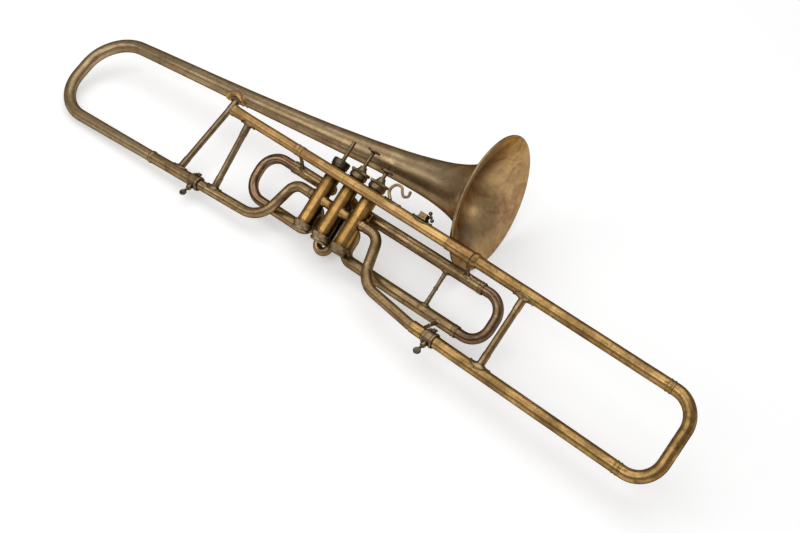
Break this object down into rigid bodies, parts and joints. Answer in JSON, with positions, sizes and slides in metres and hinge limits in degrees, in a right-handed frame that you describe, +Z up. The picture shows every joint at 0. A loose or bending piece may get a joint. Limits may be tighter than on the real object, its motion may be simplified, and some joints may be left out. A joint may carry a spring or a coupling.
{
  "type": "valve trombone",
  "caption": "Aged brass tenor trombone with three piston valves, valve slides, a pull-out front tuning slide, a back bow and a flared bell, lying as set down on a table.",
  "frame": {"origin": "middle of the bounding box, on the table that the horn rests on", "axes": "+X along the horn from the back bow to the front bow, +Z up from the table, +Y towards the bell; the valve casings lean back over the bell by 52.5 degrees"},
  "size_m": [1.065, 0.315, 0.1887],
  "materials": {
    "golden_brass": "worn satin",
    "brown_brass": "tarnished",
    "copper_brass": "tarnished",
    "dark_metal": "blackened",
    "plated_steel": "satin"
  },
  "bodies": {
    "root": {"bell": "brown_brass", "back_bow": "brown_brass", "lower_bell_tube": "golden_brass", "bell_brace": "brown_brass", "mouthpiece_receiver": "golden_brass", "leadpipe": "golden_brass", "upper_inner_tube": "golden_brass", "leadpipe_ferrule": "golden_brass", "casing_1": "golden_brass", "top_cap_1": "dark_metal", "bottom_cap_1": "dark_metal", "valve_spring_1": "plated_steel", "casing_2": "golden_brass", "top_cap_2": "dark_metal", "bottom_cap_2": "dark_metal", "valve_spring_2": "plated_steel", "casing_3": "golden_brass", "top_cap_3": "dark_metal", "bottom_cap_3": "dark_metal", "valve_spring_3": "plated_steel", "knuckle_1_2": "golden_brass", "knuckle_2_3": "golden_brass", "left_s_bend": "golden_brass", "right_s_bend": "golden_brass", "lower_inner_tube": "golden_brass", "lower_slide_ferrule": "golden_brass", "first_slide_upper_leg": "brown_brass", "first_slide_lower_leg": "brown_brass", "third_slide_upper_leg": "brown_brass", "third_slide_lower_leg": "brown_brass", "second_slide_right_leg": "brown_brass", "second_slide_left_leg": "brown_brass", "leadpipe_brace": "brown_brass", "first_slide_post": "dark_metal", "third_slide_post": "dark_metal", "third_slide_brace": "dark_metal", "third_slide_stay": "dark_metal", "left_clamp_collar": "dark_metal", "finger_hook": "brown_brass", "lyre_holder": "brown_brass"},
    "valve_1": {"piston_1": "plated_steel", "stem_1": "dark_metal"},
    "valve_2": {"piston_2": "plated_steel", "stem_2": "dark_metal", "finger_button_2": "dark_metal"},
    "valve_3": {"piston_3": "plated_steel", "stem_3": "dark_metal", "finger_button_3": "dark_metal"},
    "first_slide": {"first_slide_bow": "copper_brass"},
    "second_slide": {"second_slide_bow": "copper_brass"},
    "third_slide": {"third_slide_bow": "copper_brass"},
    "front_slide": {"upper_slide_tube": "golden_brass", "lower_slide_tube": "golden_brass", "front_bow": "golden_brass", "slide_brace": "golden_brass", "right_clamp_collar": "dark_metal"},
    "left_thumb_screw": {"left_clamp_screw": "dark_metal"},
    "right_thumb_screw": {"right_clamp_screw": "dark_metal"},
    "lyre_thumb_screw": {"lyre_screw": "dark_metal"}
  },
  "joints": [
    {"name": "press_valve_1", "type": "slide", "parent": "root", "child": "valve_1", "axis": [-0.0085, 0.7934, 0.6087], "range_m": [-0.015, 0], "stiffness_N_per_m": 160, "springref_m": 0.015, "deforming": ["valve_spring_1"]},
    {"name": "press_valve_2", "type": "slide", "parent": "root", "child": "valve_2", "axis": [-0.0085, 0.7934, 0.6087], "range_m": [-0.015, 0], "stiffness_N_per_m": 160, "springref_m": 0.015, "deforming": ["valve_spring_2"]},
    {"name": "press_valve_3", "type": "slide", "parent": "root", "child": "valve_3", "axis": [-0.0085, 0.7934, 0.6087], "range_m": [-0.001, 0.014], "deforming": ["valve_spring_3"]},
    {"name": "pull_first_slide", "type": "slide", "parent": "root", "child": "first_slide", "axis": [-0.9999, 0, -0.014], "range_m": [0, 0.04]},
    {"name": "pull_second_slide", "type": "slide", "parent": "root", "child": "second_slide", "axis": [0.0085, -0.7934, -0.6087], "range_m": [0, 0.015]},
    {"name": "pull_third_slide", "type": "slide", "parent": "root", "child": "third_slide", "axis": [0.9999, 0, 0.014], "range_m": [0, 0.08]},
    {"name": "pull_front_slide", "type": "slide", "parent": "root", "child": "front_slide", "axis": [0.9999, -0.0125, 0.0044], "range_m": [0, 0.06]},
    {"name": "turn_left_clamp_screw", "type": "hinge", "parent": "root", "child": "left_thumb_screw", "pos_m": [-0.22407, -0.11763, 0.02159], "axis": [0.0415, -0.9982, -0.0424], "range_deg": [0, 360]},
    {"name": "turn_right_clamp_screw", "type": "hinge", "parent": "front_slide", "child": "right_thumb_screw", "pos_m": [0.20494, -0.12812, 0.04285], "axis": [-0.0123, -0.999, -0.0437], "range_deg": [0, 360]},
    {"name": "turn_lyre_screw", "type": "hinge", "parent": "root", "child": "lyre_thumb_screw", "pos_m": [0.11413, -0.0298, 0.11703], "axis": [0.7827, 0.4884, 0.3858], "range_deg": [0, 360]}
  ]
}
